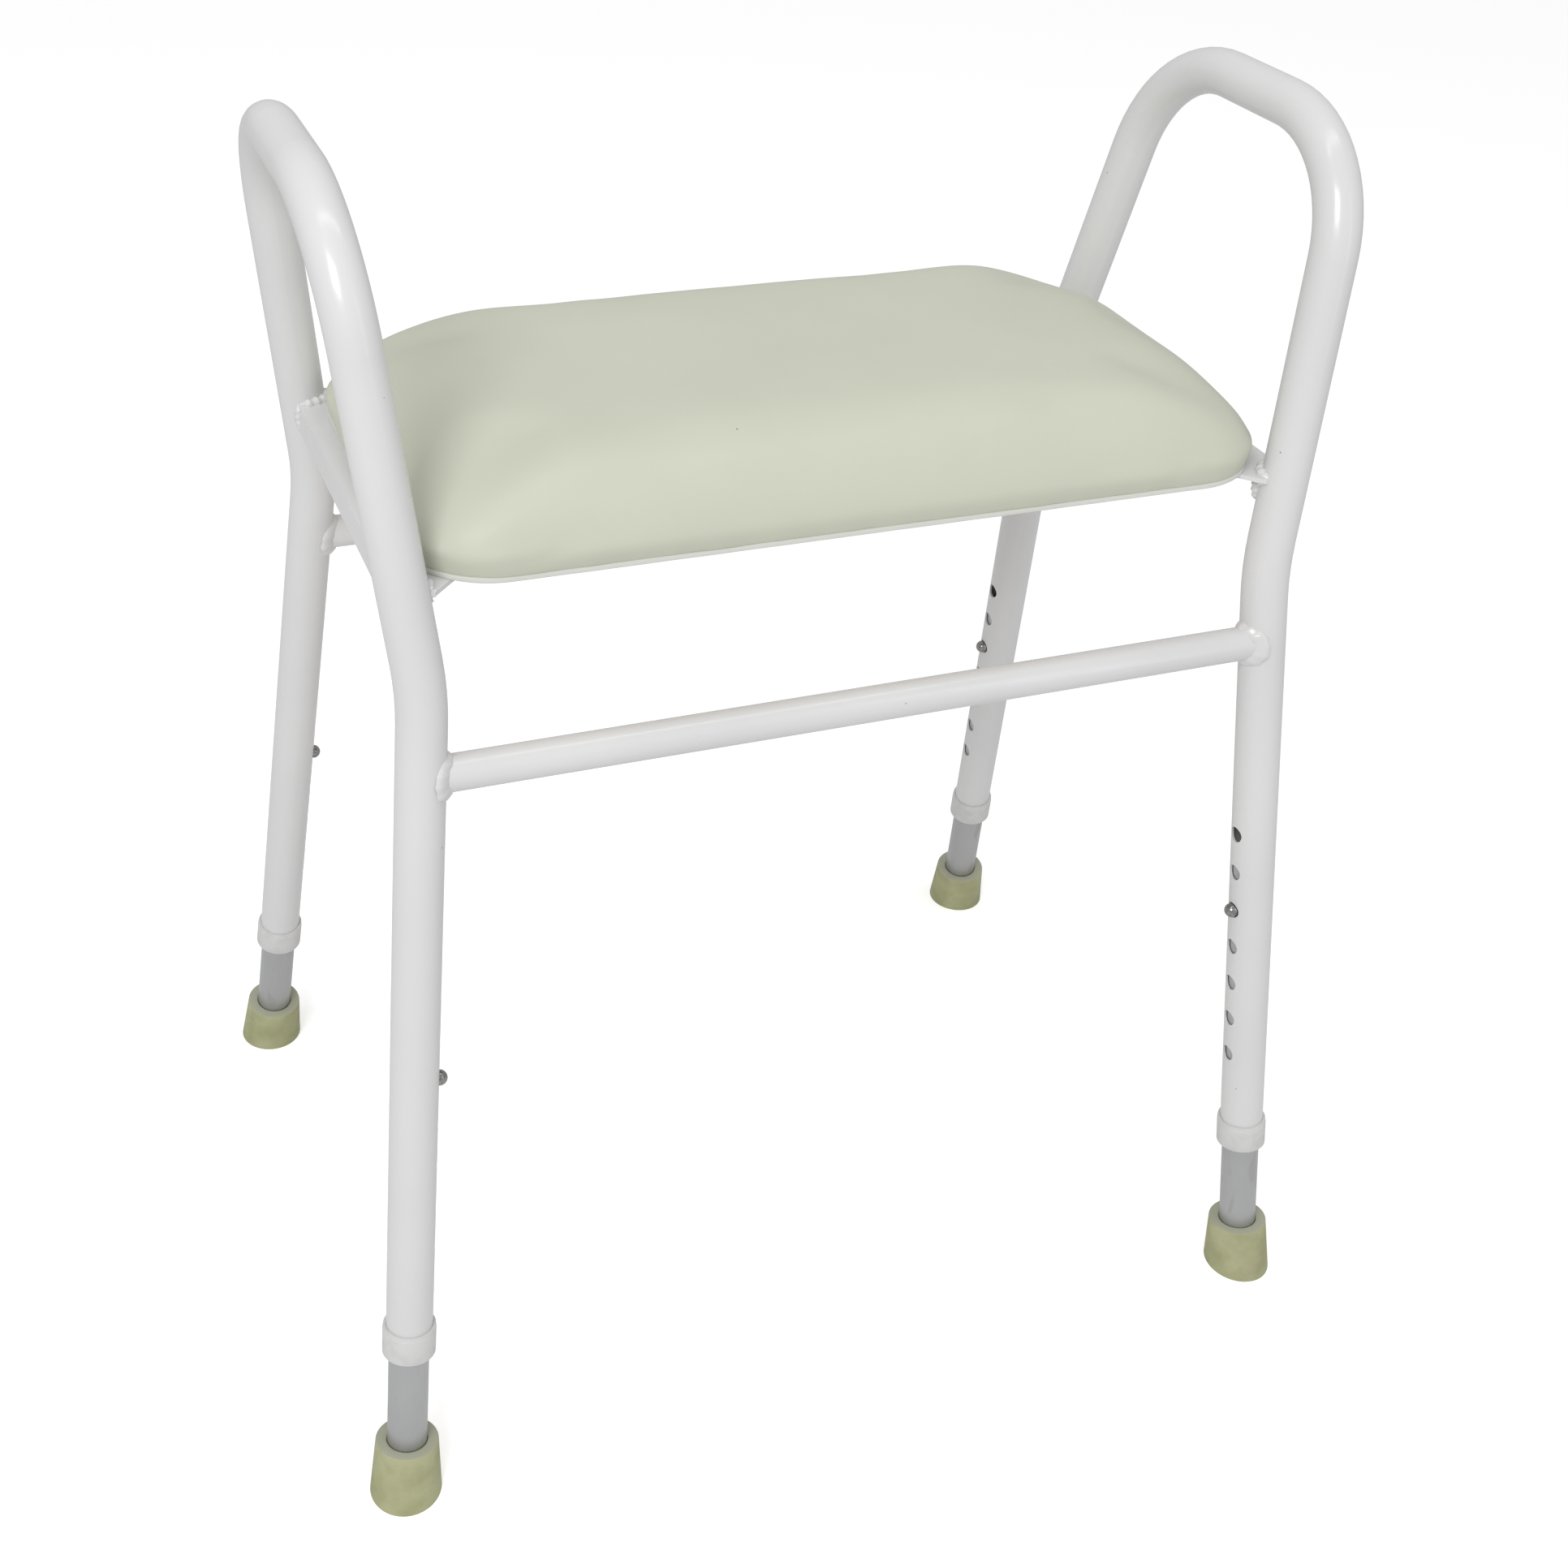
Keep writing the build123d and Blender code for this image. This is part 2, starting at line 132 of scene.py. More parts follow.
def studio_light():
    """White room, a large softbox at the front left, strips overhead and at the right."""
    scene = bpy.context.scene
    scene.view_settings.view_transform = "Standard"
    world = bpy.data.worlds.new("white_room")
    world.use_nodes = True
    background = world.node_tree.nodes["Background"]
    background.inputs["Color"].default_value = (1.0, 1.0, 1.0, 1.0)
    background.inputs["Strength"].default_value = 0.58
    nodes, links = world.node_tree.nodes, world.node_tree.links
    backdrop = nodes.new("ShaderNodeBackground")
    seen = nodes.new("ShaderNodeLightPath")
    chosen = nodes.new("ShaderNodeMixShader")
    links.new(seen.outputs["Is Camera Ray"], chosen.inputs[0])
    links.new(background.outputs[0], chosen.inputs[1])
    links.new(backdrop.outputs[0], chosen.inputs[2])
    links.new(chosen.outputs[0], nodes["World Output"].inputs["Surface"])
    backdrop.inputs["Color"].default_value = (1.0, 1.0, 1.0, 1.0)
    scene.world = world
    middle = (0, 0, 0.45)
    softbox("left_softbox", (-1.5, -1.8, 2.3), middle, (1.1, 1.1), 36)
    softbox("top_strip", (0.0, -0.3, 2.7), middle, (2.4, 0.10), 8)
    softbox("right_strip", (1.3, -2.1, 1.3), middle, (0.12, 2.0), 3)


def white_floor():
    """Plain floor, seen whiter than the light that it throws back."""
    mesh = bpy.data.meshes.new("floor")
    bm = bmesh.new()
    bmesh.ops.create_grid(bm, x_segments=1, y_segments=1, size=12)
    bm.to_mesh(mesh)
    bm.free()
    floor = bpy.data.objects.new("floor", mesh)
    bpy.context.scene.collection.objects.link(floor)
    material, shader, _ = finish_base("pale_floor", (0.82, 0.82, 0.82), 0.9)
    shader.inputs["Specular IOR Level"].default_value = 0.1
    shader.inputs["Emission Color"].default_value = (1.0, 1.0, 1.0, 1.0)
    nodes, links = material.node_tree.nodes, material.node_tree.links
    seen = nodes.new("ShaderNodeLightPath")
    lift = nodes.new("ShaderNodeMath")
    lift.operation = "MULTIPLY"
    lift.inputs[1].default_value = 0.46
    links.new(seen.outputs["Is Camera Ray"], lift.inputs[0])
    links.new(lift.outputs["Value"], shader.inputs["Emission Strength"])
    mesh.materials.append(material)


# ---------------------------------------------------------------- finishes
def finish_base(name, colour, roughness, metallic=0.0):
    """A material with its shader, and the Object coordinates that its pattern reads."""
    material = bpy.data.materials.new(name)
    material.use_nodes = True
    nodes = material.node_tree.nodes
    shader = nodes["Principled BSDF"]
    shader.inputs["Base Color"].default_value = (*colour, 1.0)
    shader.inputs["Roughness"].default_value = roughness
    shader.inputs["Metallic"].default_value = metallic
    coordinates = nodes.new("ShaderNodeTexCoord")
    return material, shader, coordinates.outputs["Object"]


class Pattern:
    """Adds procedural detail to one material."""

    def __init__(self, material, shader, coordinates):
        self.nodes = material.node_tree.nodes
        self.links = material.node_tree.links
        self.shader = shader
        self.coordinates = coordinates

    def noise(self, scale, detail=2.0, stretch=None):
        node = self.nodes.new("ShaderNodeTexNoise")
        node.inputs["Scale"].default_value = scale
        node.inputs["Detail"].default_value = detail
        source = self.coordinates
        if stretch:
            mapping = self.nodes.new("ShaderNodeMapping")
            mapping.inputs["Scale"].default_value = stretch
            self.links.new(source, mapping.inputs["Vector"])
            source = mapping.outputs["Vector"]
        self.links.new(source, node.inputs["Vector"])
        return node.outputs["Fac"]

    def facing_up(self):
        """1 where the surface faces up, 0 on an upright wall."""
        split = self.nodes.new("ShaderNodeSeparateXYZ")
        surface = self.nodes.new("ShaderNodeNewGeometry")
        self.links.new(surface.outputs["Normal"], split.inputs[0])
        return split.outputs["Z"]

    def cells(self, scale, feature="F1"):
        node = self.nodes.new("ShaderNodeTexVoronoi")
        node.feature = feature
        node.inputs["Scale"].default_value = scale
        self.links.new(self.coordinates, node.inputs["Vector"])
        return node.outputs["Distance"]

    def ramp(self, value, low, high, start, end):
        """start to end as value goes from low to high."""
        node = self.nodes.new("ShaderNodeMapRange")
        node.inputs["From Min"].default_value = low
        node.inputs["From Max"].default_value = high
        node.inputs["To Min"].default_value = start
        node.inputs["To Max"].default_value = end
        self.links.new(value, node.inputs["Value"])
        return node.outputs["Result"]

    def mix(self, factor, first, second):
        """Blend of two colours; the first may be another mix's output."""
        node = self.nodes.new("ShaderNodeMix")
        node.data_type = "RGBA"
        self.links.new(factor, node.inputs["Factor"])
        for socket, colour in ((node.inputs[6], first), (node.inputs[7], second)):
            if isinstance(colour, tuple):
                socket.default_value = (*colour, 1.0)
            else:
                self.links.new(colour, socket)
        return node.outputs[2]

    def multiply(self, first, second):
        node = self.nodes.new("ShaderNodeMath")
        node.operation = "MULTIPLY"
        self.links.new(first, node.inputs[0])
        self.links.new(second, node.inputs[1])
        return node.outputs["Value"]

    def colour(self, output):
        self.links.new(output, self.shader.inputs["Base Color"])

    def roughness(self, output):
        self.links.new(output, self.shader.inputs["Roughness"])

    def bump(self, *layers):
        """Stacks (height, strength, distance) layers of bump."""
        normal = None
        for height, strength, distance in layers:
            node = self.nodes.new("ShaderNodeBump")
            node.inputs["Strength"].default_value = strength
            node.inputs["Distance"].default_value = distance
            self.links.new(height, node.inputs["Height"])
            if normal:
                self.links.new(normal, node.inputs["Normal"])
            normal = node.outputs["Normal"]
        self.links.new(normal, self.shader.inputs["Normal"])


def powder_coat():
    """Smooth gloss powder coat: faint orange peel, slightly uneven white, a few specks."""
    made = finish_base("powder_coat", (0.70, 0.70, 0.705), 0.22)
    pattern = Pattern(*made)
    cloud = pattern.ramp(pattern.noise(9.0), 0.35, 0.65, 0.0, 1.0)
    paint = pattern.mix(cloud, (0.685, 0.685, 0.69), (0.715, 0.715, 0.715))
    speck = pattern.ramp(pattern.cells(85.0), 0.035, 0.05, 1.0, 0.0)
    sparse = pattern.ramp(pattern.noise(31.0, 0.0), 0.66, 0.70, 0.0, 1.0)
    pattern.colour(pattern.mix(pattern.multiply(speck, sparse), paint, (0.35, 0.34, 0.31)))
    pattern.roughness(pattern.ramp(pattern.noise(45.0), 0.2, 0.8, 0.18, 0.26))
    pattern.bump((pattern.noise(150.0, 1.0), 0.03, 0.0004))
    return made[0]


def leg_aluminium():
    """Satin anodised tube: fine lines along the leg, faint handling marks."""
    made = finish_base("leg_aluminium", (0.47, 0.475, 0.48), 0.38, 0.8)
    pattern = Pattern(*made)
    cloud = pattern.ramp(pattern.noise(14.0), 0.35, 0.65, 0.0, 1.0)
    metal = pattern.mix(cloud, (0.47, 0.475, 0.48), (0.51, 0.515, 0.52))
    drawn = pattern.noise(60.0, 3.0, stretch=(14.0, 14.0, 0.4))
    marks = pattern.ramp(pattern.noise(150.0, 0.0, stretch=(1.0, 1.0, 0.25)), 0.70, 0.76, 0.0, 1.0)
    pattern.colour(pattern.mix(marks, metal, (0.45, 0.45, 0.45)))
    pattern.roughness(pattern.ramp(drawn, 0.3, 0.7, 0.32, 0.46))
    pattern.bump((drawn, 0.04, 0.0002))
    return made[0]


def collar_plastic():
    """Satin moulded nylon, faintly mottled, a little grubby."""
    made = finish_base("collar_plastic", (0.63, 0.63, 0.625), 0.42)
    pattern = Pattern(*made)
    grime = pattern.ramp(pattern.noise(120.0, 3.0), 0.45, 0.75, 0.0, 1.0)
    pattern.colour(pattern.mix(grime, (0.65, 0.65, 0.645), (0.58, 0.58, 0.565)))
    pattern.roughness(pattern.ramp(pattern.noise(260.0), 0.3, 0.7, 0.36, 0.50))
    pattern.bump((pattern.noise(900.0, 1.0), 0.08, 0.0002))
    return made[0]


def ferrule_rubber():
    """Matt aged rubber: blotchy yellow-green with pinkish stains and scuffs, and a painted sheen that makes the
    upward faces greyer.
    """
    made = finish_base("ferrule_rubber", (0.42, 0.43, 0.26), 0.62)
    pattern = Pattern(*made)
    blotch = pattern.ramp(pattern.noise(55.0, 3.0), 0.38, 0.66, 0.0, 1.0)
    rubber = pattern.mix(blotch, (0.43, 0.435, 0.25), (0.34, 0.345, 0.18))
    stain = pattern.ramp(pattern.noise(38.0, 2.0), 0.60, 0.74, 0.0, 0.55)
    rubber = pattern.mix(stain, rubber, (0.47, 0.40, 0.33))
    scuff = pattern.ramp(pattern.noise(420.0, 2.0), 0.62, 0.74, 0.0, 0.5)
    rubber = pattern.mix(scuff, rubber, (0.33, 0.33, 0.24))
    # painted sheen: faces that point up are tinted greyer, standing in for the light from above as it shows on the
    # top rim
    painted_top_sheen = pattern.ramp(pattern.facing_up(), 0.80, 0.95, 0.0, 0.8)
    pattern.colour(pattern.mix(painted_top_sheen, rubber, (0.40, 0.41, 0.33)))
    pattern.roughness(pattern.ramp(pattern.noise(90.0), 0.3, 0.7, 0.52, 0.72))
    pattern.bump((pattern.noise(160.0, 3.0), 0.20, 0.0008), (pattern.noise(1100.0, 1.0), 0.12, 0.0002))
    return made[0]


def button_steel():
    """Plated button, bright with fine wear."""
    made = finish_base("button_steel", (0.30, 0.30, 0.30), 0.2, 1.0)
    pattern = Pattern(*made)
    wear = pattern.ramp(pattern.noise(700.0, 3.0), 0.45, 0.70, 0.0, 1.0)
    pattern.colour(pattern.mix(wear, (0.34, 0.34, 0.335), (0.20, 0.195, 0.19)))
    pattern.roughness(pattern.ramp(pattern.noise(500.0), 0.3, 0.7, 0.14, 0.30))
    return made[0]


def spring_steel():
    """Dull spring strip with patchy temper colours."""
    made = finish_base("spring_steel", (0.34, 0.35, 0.37), 0.42, 1.0)
    pattern = Pattern(*made)
    temper = pattern.ramp(pattern.noise(130.0), 0.35, 0.65, 0.0, 1.0)
    pattern.colour(pattern.mix(temper, (0.30, 0.31, 0.34), (0.40, 0.39, 0.37)))
    pattern.roughness(pattern.ramp(pattern.noise(420.0), 0.3, 0.7, 0.34, 0.50))
    return made[0]


def zinc_steel():
    """Zinc plating with its spangle, dulled by damp."""
    made = finish_base("zinc_steel", (0.62, 0.62, 0.60), 0.36, 0.95)
    pattern = Pattern(*made)
    spangle = pattern.ramp(pattern.cells(520.0), 0.1, 0.6, 0.0, 1.0)
    zinc = pattern.mix(spangle, (0.66, 0.66, 0.64), (0.54, 0.54, 0.52))
    damp = pattern.ramp(pattern.noise(210.0, 3.0), 0.60, 0.75, 0.0, 0.6)
    pattern.colour(pattern.mix(damp, zinc, (0.44, 0.41, 0.36)))
    pattern.roughness(pattern.ramp(pattern.noise(330.0), 0.3, 0.7, 0.28, 0.46))
    return made[0]


def plywood():
    """Sanded birch ply: long grain along the seat, darker flecks."""
    made = finish_base("plywood", (0.60, 0.45, 0.28), 0.66)
    pattern = Pattern(*made)
    grain = pattern.noise(22.0, 4.0, stretch=(0.5, 9.0, 3.0))
    light_or_dark = pattern.ramp(grain, 0.32, 0.68, 0.0, 1.0)
    wood = pattern.mix(light_or_dark, (0.64, 0.49, 0.31), (0.50, 0.36, 0.21))
    fleck = pattern.ramp(pattern.noise(90.0, 1.0, stretch=(0.35, 6.0, 1.0)), 0.68, 0.74, 0.0, 0.7)
    pattern.colour(pattern.mix(fleck, wood, (0.33, 0.22, 0.12)))
    pattern.bump((grain, 0.12, 0.0006))
    return made[0]


def seat_vinyl(name, pale, deep, grain_depth):
    """Smooth vinyl with a fine leather grain, slightly uneven in colour, a few specks of dirt."""
    made = finish_base(name, pale, 0.50)
    made[1].inputs["Sheen Weight"].default_value = 0.06
    pattern = Pattern(*made)
    cloud = pattern.ramp(pattern.noise(7.0, 3.0), 0.35, 0.68, 0.0, 1.0)
    skin = pattern.mix(cloud, pale, deep)
    speck = pattern.ramp(pattern.cells(46.0), 0.028, 0.040, 1.0, 0.0)
    sparse = pattern.ramp(pattern.noise(17.0, 0.0), 0.64, 0.68, 0.0, 0.85)
    pattern.colour(pattern.mix(pattern.multiply(speck, sparse), skin, (0.20, 0.19, 0.15)))
    pattern.roughness(pattern.ramp(pattern.noise(30.0, 3.0), 0.3, 0.7, 0.44, 0.56))
    creases = pattern.ramp(pattern.cells(640.0, "DISTANCE_TO_EDGE"), 0.0, 0.12, 0.0, 1.0)
    pattern.bump((pattern.noise(36.0, 2.0), 0.10, 0.002), (creases, grain_depth, 0.0002))
    return made[0]


# ---------------------------------------------------------------- making pieces
def finished(name, bm, material, slot, body, *replaced):
    """A smooth mesh object that rides on its body and stands for CAD nodes."""
    bmesh.ops.recalc_face_normals(bm, faces=bm.faces)
    for face in bm.faces:
        face.smooth = True
    mesh = bpy.data.meshes.new(name)
    bm.to_mesh(mesh)
    bm.free()
    mesh.materials.append(material)
    mesh.set_sharp_from_angle(angle=math.radians(50))
    piece = bpy.data.objects.new(name, mesh)
    bpy.context.scene.collection.objects.link(piece)
    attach(piece, body)
    if replaced:
        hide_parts(*replaced)
    return piece


def turned(outline, closed, steps=80):
    """Ring or plug turned about local Z from (radius, station) points."""
    bm = bmesh.new()
    corners = [bm.verts.new((radius, 0, station)) for radius, station in outline]
    for first, second in zip(corners, corners[1:]):
        bm.edges.new((first, second))
    if closed:
        bm.edges.new((corners[-1], corners[0]))
    bmesh.ops.spin(
        bm, geom=bm.verts[:] + bm.edges[:], cent=(0, 0, 0), axis=(0, 0, 1),
        angle=math.tau, steps=steps, use_merge=True,
    )
    bmesh.ops.remove_doubles(bm, verts=bm.verts, dist=1e-6)
    bmesh.ops.recalc_face_normals(bm, faces=bm.faces)
    return bm


def turn_about(bm, angle, axis):
    bmesh.ops.rotate(bm, cent=(0, 0, 0), matrix=Matrix.Rotation(angle, 3, axis), verts=bm.verts)


def soften(bm, width, segments=3, sharper_than=25):
    """Rounds every edge that turns more than an angle in degrees."""
    limit = math.radians(sharper_than)
    sharp = [edge for edge in bm.edges if edge.is_manifold and edge.calc_face_angle(0) > limit]
    bmesh.ops.bevel(
        bm, geom=sharp, offset=width, segments=segments, profile=0.5,
        affect="EDGES", material=-1, clamp_overlap=True,
    )


def roughen(bm, depth, scale, seed):
    """Uneven surface: moves each vertex along its normal by smooth noise."""
    bm.normal_update()
    shift = Vector((seed * 1.37, seed * 2.11, seed * 0.73))
    moves = [(v, v.normal * depth * noise.noise(v.co * scale + shift)) for v in bm.verts]
    for vertex, move in moves:
        vertex.co += move


JOINTS = {joint["name"]: joint for joint in frame["joints"]}
MOUNTS = {mount["name"]: mount for mount in frame["record"]["mounts"]}


def leg_place(corner):
    """Foot of a leg: local Z runs up its axis and local X points to the other side frame."""
    up = -Vector(JOINTS["leg_height_" + corner]["axis"])
    across = -Vector(JOINTS["button_press_" + corner]["axis"])
    turn = Matrix((across, up.cross(across), up)).transposed().to_4x4()
    return Matrix.Translation(MOUNTS["rest_" + corner]["pos_m"]) @ turn


# ---------------------------------------------------------------- collars and ferrules
def collar(corner, material):
    """Ring over the end of a frame tube, its lip closed in round the leg tube."""
    bottom = SLEEVE_END - COLLAR_LIP
    top = bottom + COLLAR_HEIGHT
    lip_bore = LEG_RADIUS + COLLAR_GAP
    tube_side = TUBE_RADIUS + 0.02 * MM
    bm = turned(
        [
            (lip_bore, bottom),
            (COLLAR_RADIUS, bottom),
            (COLLAR_RADIUS, top - 2.2 * MM),
            (COLLAR_RADIUS - 0.25 * MM, top - 2.0 * MM),
            (COLLAR_RADIUS - 0.25 * MM, top),
            (tube_side, top),
            (tube_side, SLEEVE_END),
            (lip_bore, SLEEVE_END),
        ],
        closed=True,
    )
    soften(bm, COLLAR_EDGE)
    bm.transform(leg_place(corner))
    finished(
        "collar_moulding_" + corner, bm, material, "collar_plastic", "frame", "collar_" + corner
    )


def ferrule(corner, material):
    """Tapered foot with a flat rim, bedded down flat on the floor."""
    slope = (FERRULE_BASE - FERRULE_TOP) / FERRULE_HEIGHT
    below = -12.0 * MM
    rim = FERRULE_HEIGHT
    bore = LEG_RADIUS + 0.05 * MM
    bm = turned(
        [
            (0, below),
            (FERRULE_BASE - slope * below, below),
            (FERRULE_BASE, 0),
            (FERRULE_TOP, rim),
            (LEG_RADIUS + 0.3 * MM, rim),
            (LEG_RADIUS + 0.2 * MM, rim - 1.2 * MM),
            (bore, rim - 4 * MM),
            (bore, FERRULE_SOLE - WASHER),
            (0, FERRULE_SOLE - WASHER),
        ],
        closed=False,
        steps=96,
    )
    soften(bm, 0.5 * MM)
    bm.transform(leg_place(corner))
    cut = bmesh.ops.bisect_plane(
        bm, geom=bm.verts[:] + bm.edges[:] + bm.faces[:], plane_co=(0, 0, 0), plane_no=(0, 0, 1),
        clear_inner=True, dist=1e-7,
    )
    rim_edges = [item for item in cut["geom_cut"] if isinstance(item, bmesh.types.BMEdge)]
    bmesh.ops.edgeloop_fill(bm, edges=rim_edges)
    bmesh.ops.recalc_face_normals(bm, faces=bm.faces)
    sole = [edge for edge in bm.edges if all(abs(v.co.z) < 1e-6 for v in edge.verts)]
    bmesh.ops.bevel(
        bm, geom=sole, offset=FERRULE_SOLE_EDGE, segments=6, profile=0.5,
        affect="EDGES", material=-1, clamp_overlap=True,
    )
    finished(
        "ferrule_boot_" + corner, bm, material, "ferrule_rubber", "leg_" + corner, "ferrule_" + corner
    )


# ---------------------------------------------------------------- welds
def saddle_x(corner, y, z):
    """X where a line along X at y, z meets the inner side of a leg's tube."""
    foot = Vector(MOUNTS["rest_" + corner]["pos_m"])
    axis = Vector(JOINTS["leg_height_" + corner]["axis"])
    side = math.copysign(1, foot.x)
    dy, dz = y - foot.y, z - foot.z
    along = dy * axis.y + dz * axis.z
    square = 1 - axis.x ** 2
    rest = dy ** 2 + dz ** 2 - along ** 2 - TUBE_RADIUS ** 2
    root = math.sqrt((axis.x * along) ** 2 - square * rest)
    return foot.x + (axis.x * along - side * root) / square


def bar_weld(corner, low, high, seed):
    """Bead round the end of a crossbar, laid on the saddle where the bar meets the leg."""
    centre = (low + high) / 2
    side = -1 if corner.endswith("left") else 1
    bm = bmesh.new()
    bmesh.ops.create_circle(bm, segments=14, radius=1.0)
    bmesh.ops.scale(bm, vec=(*BAR_BEAD, 1), verts=bm.verts)
    turn_about(bm, math.radians(45), "Z")
    turn_about(bm, math.radians(90), "X")
    bmesh.ops.translate(bm, vec=(0, 0, BAR_RADIUS), verts=bm.verts)
    bmesh.ops.spin(
        bm, geom=bm.verts[:] + bm.edges[:], cent=(0, 0, 0), axis=(1, 0, 0),
        angle=math.tau, steps=120, use_merge=True,
    )
    bmesh.ops.remove_doubles(bm, verts=bm.verts, dist=1e-7)
    for vertex in bm.verts:
        turn = math.atan2(vertex.co.z, vertex.co.y)
        spot = Vector((0, math.cos(turn), math.sin(turn)))
        lumps = noise.noise(spot * 2.3 + Vector((seed, 0, 0)))
        ripple = 0.05 * math.sin(13 * turn + seed) + 0.18 * lumps
        swell = 1.0 + ripple + 0.14 * (1 - math.sin(turn)) / 2
        reach = (math.hypot(vertex.co.y, vertex.co.z) - BAR_RADIUS) * swell
        on_bar = centre + spot * BAR_RADIUS
        root_x = saddle_x(corner, on_bar.y, on_bar.z)
        inset_x = on_bar.x - root_x + side * vertex.co.x * swell
        vertex.co = on_bar + spot * reach - Vector((inset_x, 0, 0))
    roughen(bm, 0.25 * MM, 260.0, seed)
    return bm


def bar_welds(end, material):
    """Both beads of one crossbar."""
    low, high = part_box("crossbar_" + end)
    both = bmesh.new()
    for index, side in enumerate(SIDES):
        bead = bar_weld(end + "_" + side, low, high, seed=3.0 * index + ENDS[end])
        gather(both, bead)
    name = "crossbar_beads_" + end
    finished(name, both, material, "powder_coat", "frame", "crossbar_welds_" + end)


def gather(target, bm):
    """Adds one bmesh to another."""
    mesh = bpy.data.meshes.new("gathered")
    bm.to_mesh(mesh)
    bm.free()
    target.from_mesh(mesh)
    bpy.data.meshes.remove(mesh)


def arc_bead(radius, thick, first, last, seed):
    """Lumpy bead on part of a circle about Z, closed and tapered at both ends."""
    bm = bmesh.new()
    bmesh.ops.create_circle(bm, segments=12, radius=thick)
    turn_about(bm, math.radians(90), "X")
    bmesh.ops.translate(bm, vec=(radius, 0, 0), verts=bm.verts)
    turn_about(bm, first, "Z")
    bmesh.ops.spin(
        bm, geom=bm.verts[:] + bm.edges[:], cent=(0, 0, 0), axis=(0, 0, 1),
        angle=last - first, steps=44,
    )
    bmesh.ops.holes_fill(bm, edges=[edge for edge in bm.edges if edge.is_boundary])
    for vertex in bm.verts:
        turn = math.atan2(vertex.co.y, vertex.co.x)
        share = ((turn - first) % math.tau) / (last - first)
        ends = min(1.0, 0.25 + 6 * min(share, abs(1 - share)))
        swell = ends * (1 + 0.16 * math.sin(34 * share + seed))
        root = Vector((math.cos(turn), math.sin(turn), 0)) * radius
        vertex.co = root + (vertex.co - root) * swell
    roughen(bm, 0.5 * MM, 240.0, seed)
    return bm


def upright_bead(place, wide, seed):
    """Short scalloped run of weld down a leg, under the end of a rail."""
    bm = bmesh.new()
    bmesh.ops.create_uvsphere(bm, u_segments=20, v_segments=28, radius=1.0)
    bmesh.ops.scale(bm, vec=(wide, wide, 8.5 * MM), verts=bm.verts)
    for vertex in bm.verts:
        pinch = 1 + 0.14 * math.sin(vertex.co.z / MM * 1.7 + seed)
        vertex.co.x *= pinch
        vertex.co.y *= pinch
    bmesh.ops.translate(bm, vec=place, verts=bm.verts)
    roughen(bm, 0.5 * MM, 260.0, seed)
    return bm


def rail_welds(side, material):
    """Beads over and under each rail's flange and down its outer drop, at both legs."""
    low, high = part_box("seat_rail_" + side)
    outward = SIDES[side]
    outer_x = low.x if outward < 0 else high.x
    all_beads = bmesh.new()
    for end in ENDS:
        back = ENDS[end]
        leg = Vector((outer_x - outward * RAIL_OUTSIDE_LEG, back * (high.y - RAIL_PAST_LEG), 0))
        inner = 180 if outward > 0 else 0
        turn = -1 if outward * back < 0 else 1
        first, last = inner - turn * 12, inner + turn * 106
        first, last = math.radians(min(first, last)), math.radians(max(first, last))
        for level, thick in ((high.z + 0.3 * MM, 2.9 * MM), (high.z - 2.8 * MM, 2.6 * MM)):
            bead = arc_bead(TUBE_RADIUS + 0.6 * MM, thick, first, last, seed=level * 900 + back)
            bmesh.ops.translate(bead, vec=leg + Vector((0, 0, level)), verts=bead.verts)
            gather(all_beads, bead)
        reach = math.sqrt(TUBE_RADIUS ** 2 - RAIL_OUTSIDE_LEG ** 2)
        outer_run = Vector((outer_x - outward * 0.6 * MM, leg.y - back * reach, high.z - 8.0 * MM))
        inner_run = leg + Vector((-outward * 10.0 * MM, -back * 8.2 * MM, high.z - 9.0 * MM))
        gather(all_beads, upright_bead(outer_run, 2.8 * MM, seed=5 + back))
        if outward > 0:
            gather(all_beads, upright_bead(inner_run, 3.4 * MM, seed=7 + back))
    finished("rail_beads_" + side, all_beads, material, "powder_coat", "frame", "rail_welds_" + side)


# ---------------------------------------------------------------- seat
def seat_core(x, y, half, corner):
    """Centre of the corner arc, or the foot on the straight side, that a point belongs to."""
    reach = Vector((half.x - corner, half.y - corner))
    core = Vector((max(-reach.x, min(reach.x, x)), max(-reach.y, min(reach.y, y))))
    away = Vector((x, y)) - core
    if away.length < 1e-9:
        return core, Vector((0, 0)), 0.0
    return core, away.normalized(), away.length


def seat_plate(half, corner, segments=14):
    """A rounded rectangle as one face, its long sides divided."""
    bm = bmesh.new()
    bmesh.ops.create_grid(bm, x_segments=1, y_segments=1, size=1.0)
    bmesh.ops.scale(bm, vec=(half.x, half.y, 1), verts=bm.verts)
    bmesh.ops.bevel(
        bm, geom=bm.verts[:], offset=corner, segments=segments, profile=0.5,
        affect="VERTICES", material=-1,
    )
    straight = [edge for edge in bm.edges if edge.calc_length() > corner]
    bmesh.ops.subdivide_edges(bm, edges=straight, cuts=60)
    return bm


def cushion_blank(half, corner, bottom, top):
    """Slab that the filling swells: upright sides and a rolled top edge."""
    bm = seat_plate(half, corner)
    bmesh.ops.translate(bm, vec=(0, 0, bottom), verts=bm.verts)
    raised = bmesh.ops.extrude_face_region(bm, geom=bm.faces[:])
    lid = [item for item in raised["geom"] if isinstance(item, bmesh.types.BMVert)]
    bmesh.ops.translate(bm, vec=(0, 0, top - bottom), verts=lid)
    rim = [edge for edge in bm.edges if all(v in lid for v in edge.verts)]
    bmesh.ops.bevel(
        bm, geom=rim, offset=SEAT_ROLL, segments=8, profile=0.5,
        affect="EDGES", material=-1, clamp_overlap=True,
    )
    bmesh.ops.recalc_face_normals(bm, faces=bm.faces)
    return bm


